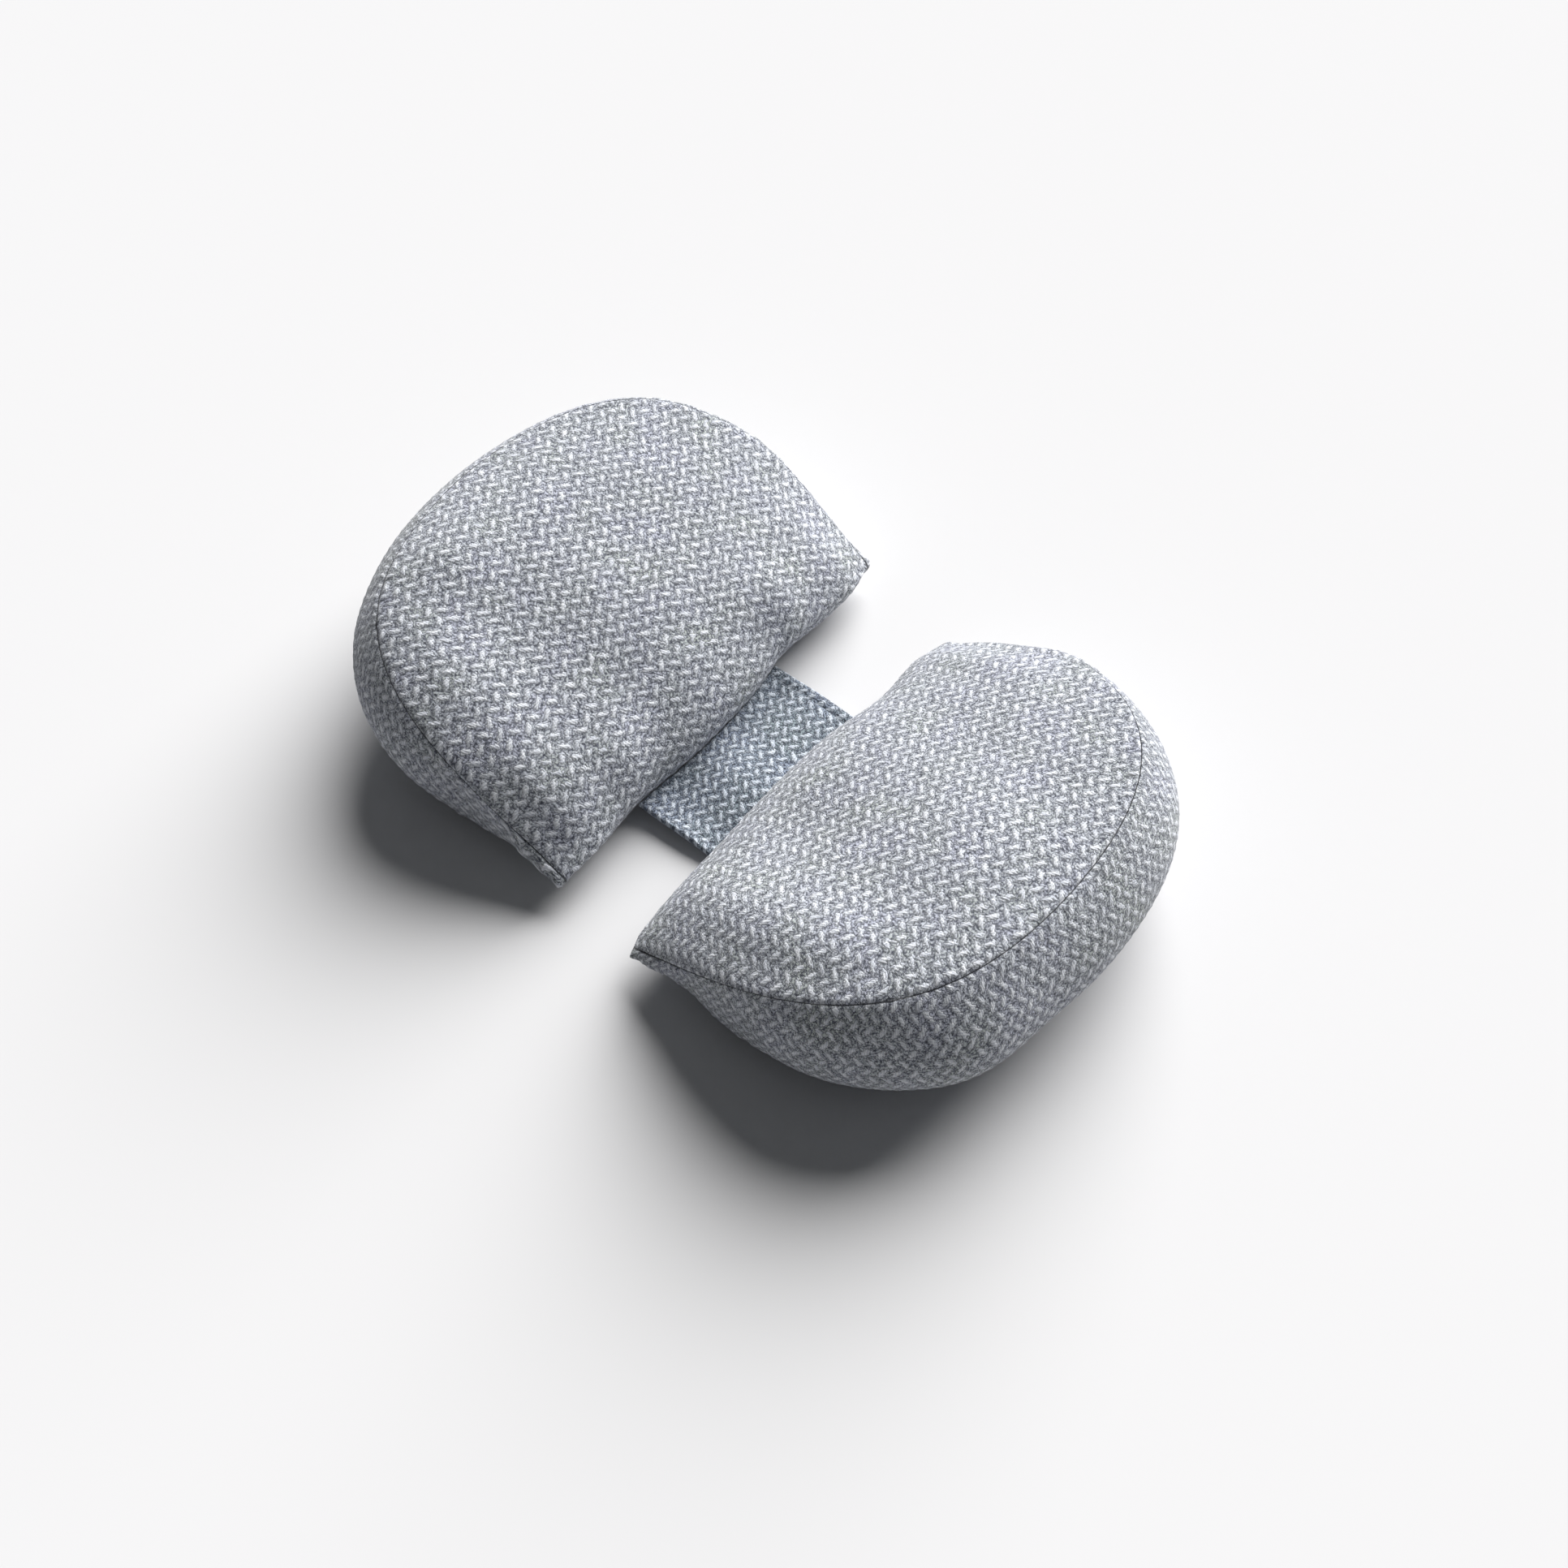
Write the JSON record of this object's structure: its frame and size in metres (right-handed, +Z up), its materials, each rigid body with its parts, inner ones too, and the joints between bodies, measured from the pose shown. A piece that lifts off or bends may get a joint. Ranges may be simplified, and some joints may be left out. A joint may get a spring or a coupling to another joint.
{
  "type": "pregnancy wedge pillow",
  "caption": "Two stuffed half-moon wedges, thin along their straight inner edges and thick at the round outer sides, joined by a short wide cloth strap.",
  "frame": {"origin": "middle of the pillow's outline, on the surface it lies on", "axes": "+X along the whole length, from the left wedge to the right one; +Y along the wedges' straight inner edges; +Z up"},
  "size_m": [0.4176, 0.2726, 0.0858],
  "materials": {
    "wedge_knit": "matt grey knit with a raised herringbone of short pale floats",
    "strap_knit": "the same matt grey knit, doubled, with turned and topstitched edges"
  },
  "bodies": {
    "root": {"wedge_left": "wedge_knit", "wedge_right": "wedge_knit", "joining_strap": "strap_knit"}
  },
  "joints": []
}
